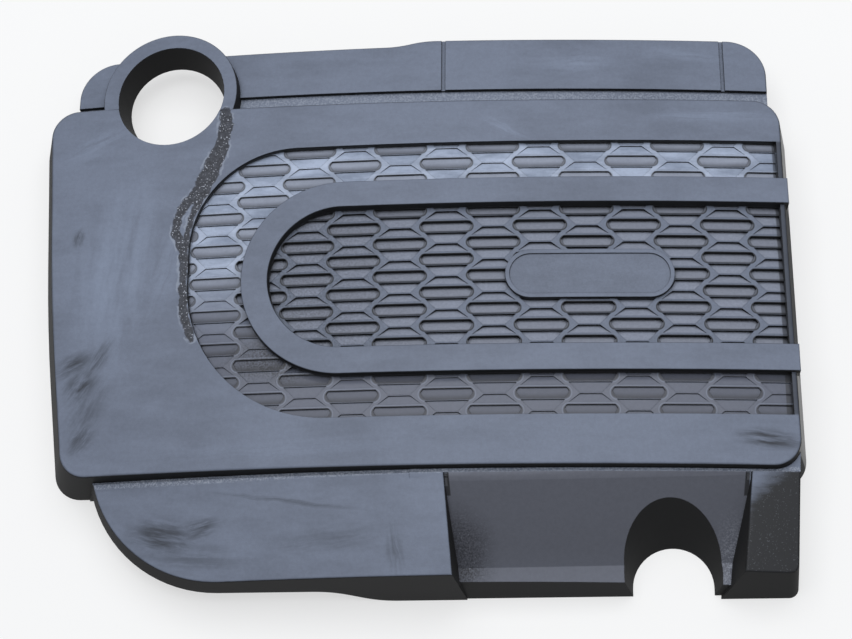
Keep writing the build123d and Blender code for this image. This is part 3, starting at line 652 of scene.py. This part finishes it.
def louvre_haze_and_sheen(cover, haze_and_sheen):
    """Haze and painted sheen on the louvres: facets painted paler at the rear side and duller at the front,
    slots duller at the front of the outer field, other tones inside the band.
    """
    graph = cover.graph
    # Painted sheen: facets paler at the rear side and duller at the front, slots duller at the front of the
    # outer field
    facet_sheen = graph.mix(graph.ramp(cover.wipe, FACET_SPAN), PALE_HAZE_AND_SHEEN, FACET_LIT_SHEEN)
    facet_sheen = graph.mix(cover.rear_side, FACET_SHADED_SHEEN, facet_sheen)
    inner_facet_sheen = graph.mix(graph.ramp(cover.level, DEEP_DROP), HAZE_AND_SHEEN, INNER_FACET_SHEEN)
    haze_and_sheen = graph.mix(cover.louvred, haze_and_sheen, graph.mix(cover.beside, inner_facet_sheen, facet_sheen))
    shaded_front = graph.product(cover.beside, graph.inverse(cover.rear_side))
    slot_sheen = graph.mix(shaded_front, SLOT_LIT_SHEEN, SLOT_SHADED_SHEEN)
    return graph.mix(graph.product(cover.in_slot, SLOT_SHARE), haze_and_sheen, slot_sheen)


def haze_and_sheen_strength(cover):
    """How much of the haze and painted sheen is left by grit, dirt, painted shade at the foot of the slots,
    dark wipes, wet plastic and the field's right rim.
    """
    graph = cover.graph
    grit = graph.blend(graph.ramp(cover.coarse, GRIT_SPAN), graph.ramp(cover.x, GRIT_X, GRIT_HAZE), 1.0)
    dirt_grain = graph.ramp(cover.coarse, DIRT_SPAN)
    dirt = graph.product(cover.patch(FIELD_PATCH), cover.outer, dirt_grain, DIRT_SHARE)
    # Painted shade low inside the slots
    slot_foot_shade = graph.product(cover.in_slot, graph.ramp(cover.level, FOOT_SHADE_RISE), FOOT_SHADE_SHARE)
    return graph.product(
        graph.blend(cover.inner, 1.0, grit),
        graph.inverse(dirt),
        graph.inverse(slot_foot_shade),
        graph.ramp(cover.mottle, MOTTLE_SPAN, MOTTLE_HAZE),
        graph.ramp(cover.grain, GRAIN_SPAN, GRAIN_HAZE),
        graph.inverse(cover.wipes(DARK_WIPES)),
        graph.blend(cover.wet, 1.0, WET_HAZE),
        graph.blend(cover.rim, 1.0, RIM_HAZE),
    )


def add_crevices(cover, colour):
    """Painted shade in crevices, along the seams and round the slots, a painted highlight on the slots'
    shoulders, and dust in the grooves.
    """
    graph = cover.graph
    # Painted highlight on the shoulder round each slot
    shoulder_highlight = graph.window(cover.slot_gap, SHOULDER_HIGHLIGHT_GAP, LINE_SOFT)
    shoulder_highlight = graph.product(shoulder_highlight, cover.louvred, cover.beside, SHOULDER_HIGHLIGHT_SHARE)
    colour = graph.mix(shoulder_highlight, colour, PALE_HAZE_AND_SHEEN)
    # Painted shade along the outlines of the slots, stronger inside the band and at the rear side
    outer_line_shade = graph.blend(cover.rear_side, FRONT_LINE_SHADE, REAR_LINE_SHADE)
    line = graph.blend(cover.beside, INNER_LINE_SHADE, outer_line_shade)
    outline_shade = graph.product(graph.window(cover.slot_gap, OUTLINE_SHADE_GAP, LINE_SOFT), cover.louvred, line)
    # Painted shade where the surface is closed in and along the seams
    crevice_shade = graph.ramp(cover.openness, CREVICE_SHADE_SPAN)
    crevice_shade = graph.product(crevice_shade, graph.blend(cover.groove, CREVICE_SHADE_SHARE, GROOVE_CREVICE_SHADE_SHARE))
    shade_darkening = graph.most(crevice_shade, outline_shade, graph.product(cover.seam, SEAM_SHADE_SHARE))
    colour = graph.mix(shade_darkening, colour, BLACK_PLASTIC)
    dust = graph.product(cover.groove, graph.ramp(cover.coarse, DUST_SPAN), cover.top)
    return graph.mix(dust, colour, DUST)


def add_streak(cover, colour):
    """Dried wet streak with a broken dusty ridge round it."""
    graph = cover.graph
    ridge = graph.product(
        graph.window(cover.streak_gap, RIDGE_GAP, RIDGE_SOFT),
        graph.ramp(graph.noise(cover.place, *BREAK_NOISE), BREAK_SPAN),
        cover.on_panel,
        cover.top,
        RIDGE_SHARE,
    )
    colour = graph.mix(ridge, colour, DUST)
    wet_tone = graph.mix(graph.ramp(cover.mottle, WET_MOTTLE_SPAN), WET_PLASTIC, WET_GREY)
    return graph.mix(graph.product(cover.soaked, SOAKED_SHARE), colour, wet_tone)


def add_wet_grain(cover, colour):
    """Wet grain on the slope, and specks in it, in the streak, on the wet section and beside the notch."""
    graph = cover.graph
    patch = graph.product(cover.patch(WET_PATCH), cover.slope, cover.top)
    grainy = graph.blend(graph.ramp(cover.coarse, WET_GRAIN_SPAN), *WET_GRAIN_SHARES)
    colour = graph.mix(graph.product(patch, grainy), colour, WET_PLASTIC)
    flecked = graph.most(
        graph.product(cover.soaked, STREAK_FLECKS),
        graph.product(patch, PATCH_FLECKS),
        graph.product(cover.wet, WET_FLECKS),
    )
    fleck = graph.ramp(graph.noise(cover.place, *FLECK_NOISE), FLECK_SPAN)
    colour = graph.mix(graph.product(fleck, flecked, cover.top), colour, SPECK)
    speckle = graph.product(
        graph.ramp(cover.coarse, SPECKLE_SPAN),
        graph.ramp(cover.x, NOTCH_SIDE_X),
        graph.ramp(cover.y, NOTCH_SIDE_Y),
        cover.slope,
        cover.top,
        SPECKLE_SHARE,
    )
    return graph.mix(speckle, colour, SPECK)


def plastic_coat(cover):
    """Thin gloss on the streak, the outer louvres and the wet section."""
    graph = cover.graph
    gloss = graph.most(
        graph.product(cover.soaked, STREAK_GLOSS),
        graph.product(cover.outer, FIELD_GLOSS),
        graph.product(cover.wet, WET_GLOSS),
    )
    return graph.product(gloss, cover.top, COAT_SHARE)


def plastic_roughness(cover):
    graph = cover.graph
    upper = graph.blend(cover.pale, TOP_ROUGHNESS, PALE_ROUGHNESS)
    louvres = graph.blend(cover.in_slot, RIB_ROUGHNESS, SLOT_ROUGHNESS)
    return graph.blend(cover.outer, graph.blend(cover.top, WALL_ROUGHNESS, upper), louvres)


def plastic_normal(cover):
    """Fine moulded grain all over, and a coarser one that is strongest inside the band."""
    graph = cover.graph
    normal = graph.bump(cover.grain, GRAIN_BUMP, GRAIN_HEIGHT, cover.normal)
    return graph.bump(cover.coarse, graph.blend(cover.inner, *COARSE_BUMPS), COARSE_HEIGHT, normal)


def plastic_material():
    """Satin black plastic with a blue-grey haze on what faces up, partly dust and partly painted sheen of the
    light from above, painted shade in crevices, along seams and round the slots, and marks of use.
    """
    graph = Graph("moulded_plastic")
    cover = Cover(graph)
    haze_and_sheen = louvre_haze_and_sheen(cover, haze_and_sheen_colour(cover))
    # Haze on what faces up is partly dust and partly painted sheen of the light from above; the sides keep
    # the black plastic
    colour = graph.mix(graph.product(haze_and_sheen_strength(cover), cover.top), BLACK_PLASTIC, haze_and_sheen)
    colour = add_crevices(cover, colour)
    colour = add_streak(cover, colour)
    colour = add_wet_grain(cover, colour)
    inputs = {
        "Base Color": colour,
        "Roughness": plastic_roughness(cover),
        "Normal": plastic_normal(cover),
        "Coat Weight": plastic_coat(cover),
        "IOR": PLASTIC_IOR,
        "Specular IOR Level": SPECULAR_LEVEL,
        "Coat Roughness": COAT_ROUGHNESS,
    }
    return graph.finish(graph.node("ShaderNodeBsdfPrincipled", inputs))


def rubber_material():
    """Matt black rubber of the grommets."""
    graph = Graph("grommet_rubber")
    place = graph.node("ShaderNodeTexCoord").outputs["Object"]
    grain = graph.noise(place, *RUBBER_NOISE)
    shade = graph.ramp(grain, RUBBER_SPAN)
    inputs = {
        "Base Color": graph.mix(shade, RUBBER_COLOUR, RUBBER_WORN),
        "Roughness": graph.blend(shade, *RUBBER_ROUGHNESS),
        "Normal": graph.bump(grain, RUBBER_BUMP, RUBBER_HEIGHT),
    }
    return graph.finish(graph.node("ShaderNodeBsdfPrincipled", inputs))


def dress(name, material):
    mesh = nodes[name].data
    mesh.materials.clear()
    mesh.materials.append(material)


def make_camera():
    """Camera at the photograph's viewing angle, aimed at a point of the cover."""
    azimuth = math.radians(CAMERA_AZIMUTH)
    elevation = math.radians(CAMERA_ELEVATION)
    roll = math.radians(CAMERA_ROLL)
    back = Vector(
        (
            math.sin(azimuth) * math.cos(elevation),
            -math.cos(azimuth) * math.cos(elevation),
            math.sin(elevation),
        )
    )
    level = Vector((math.cos(azimuth), math.sin(azimuth), 0.0))
    upright = back.cross(level)
    right = level * math.cos(roll) + upright * math.sin(roll)
    up = upright * math.cos(roll) - level * math.sin(roll)
    data = bpy.data.cameras.new("camera")
    data.sensor_fit = "HORIZONTAL"
    data.sensor_width = SENSOR_WIDTH
    data.lens = SENSOR_WIDTH * CAMERA_FOCAL_PIXELS / IMAGE_WIDTH
    camera = bpy.data.objects.new("camera", data)
    turn = Matrix((right, up, back)).transposed().to_4x4()
    camera.matrix_world = Matrix.Translation(CAMERA_TARGET + back * CAMERA_DISTANCE) @ turn
    bpy.context.scene.collection.objects.link(camera)
    bpy.context.scene.camera = camera


def floor_material():
    """Floor that is pale to the camera and in reflections, and darker in the light that it sends back up."""
    graph = Graph("floor")
    rays = graph.node("ShaderNodeLightPath").outputs
    seen = graph.math("ADD", rays["Is Camera Ray"], rays["Is Glossy Ray"])
    seen = graph.math("ADD", seen, rays["Is Transmission Ray"], clamp=True)
    lit = graph.node("ShaderNodeBsdfDiffuse", {"Color": graph.mix(seen, FLOOR_BOUNCE, FLOOR_SEEN)})
    white = graph.node("ShaderNodeEmission", {"Strength": FLOOR_WHITE})
    share = graph.math("MULTIPLY", seen, FLOOR_WHITE_SHARE)
    inputs = {0: share, 1: lit.outputs[0], 2: white.outputs[0]}
    return graph.finish(graph.node("ShaderNodeMixShader", inputs))


def make_floor():
    mesh = bpy.data.meshes.new("floor")
    half = FLOOR_HALF
    corners = [(-half, -half, 0), (half, -half, 0), (half, half, 0), (-half, half, 0)]
    mesh.from_pydata(corners, [], [(0, 1, 2, 3)])
    mesh.materials.append(floor_material())
    floor = bpy.data.objects.new("floor", mesh)
    bpy.context.scene.collection.objects.link(floor)


def make_key_light():
    """Large soft light overhead."""
    data = bpy.data.lights.new("key", "AREA")
    data.shape = "RECTANGLE"
    data.size, data.size_y = KEY_SIZE
    data.energy = KEY_POWER
    data.color = KEY_COLOUR
    light = bpy.data.objects.new("key", data)
    aim = Vector(KEY_TARGET) - Vector(KEY_PLACE)
    turn = aim.to_track_quat("-Z", "Y").to_matrix().to_4x4()
    light.matrix_world = Matrix.Translation(KEY_PLACE) @ turn
    bpy.context.scene.collection.objects.link(light)


def make_world():
    world = bpy.data.worlds.new("studio")
    bpy.context.scene.world = world
    world.use_nodes = True
    background = world.node_tree.nodes["Background"]
    background.inputs["Color"].default_value = WORLD_COLOUR
    background.inputs["Strength"].default_value = WORLD_STRENGTH


plastic = plastic_material()
rubber = rubber_material()
for node_name in nodes:
    dress(node_name, rubber if node_name.startswith("grommet") else plastic)

make_camera()
make_floor()
make_world()
make_key_light()

bpy.context.scene.view_settings.view_transform = "Standard"
